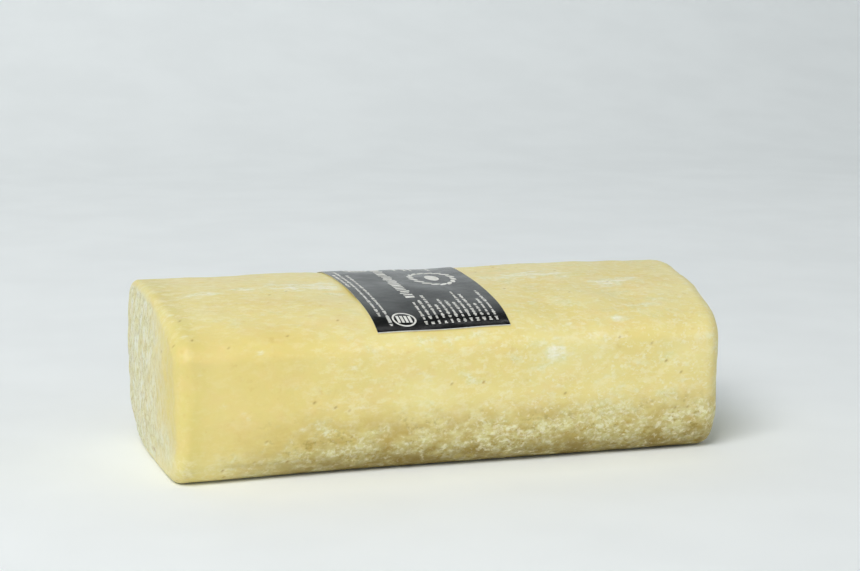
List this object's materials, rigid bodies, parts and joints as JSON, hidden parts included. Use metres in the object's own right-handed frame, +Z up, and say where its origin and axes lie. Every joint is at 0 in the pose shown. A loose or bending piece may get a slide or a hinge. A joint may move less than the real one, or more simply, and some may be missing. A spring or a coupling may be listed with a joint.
{
  "type": "pata de mulo cheese",
  "caption": "Long hand-pressed ewe's-milk cheese with a pale, mottled natural rind and a black paper label pasted over its top, lying on its flat side.",
  "frame": {"origin": "middle of the flat base, under the centre of the loaf's box", "axes": "+X along the loaf towards its narrower end, +Y from the front to the back, +Z up"},
  "size_m": [0.2778, 0.1128, 0.078],
  "materials": {
    "rind": "satin, waxy natural rind, pale yellow with whitish bloom",
    "black_label": "glossy black print on white paper"
  },
  "bodies": {
    "root": {"cheese": "rind", "label": "black_label"}
  },
  "joints": []
}
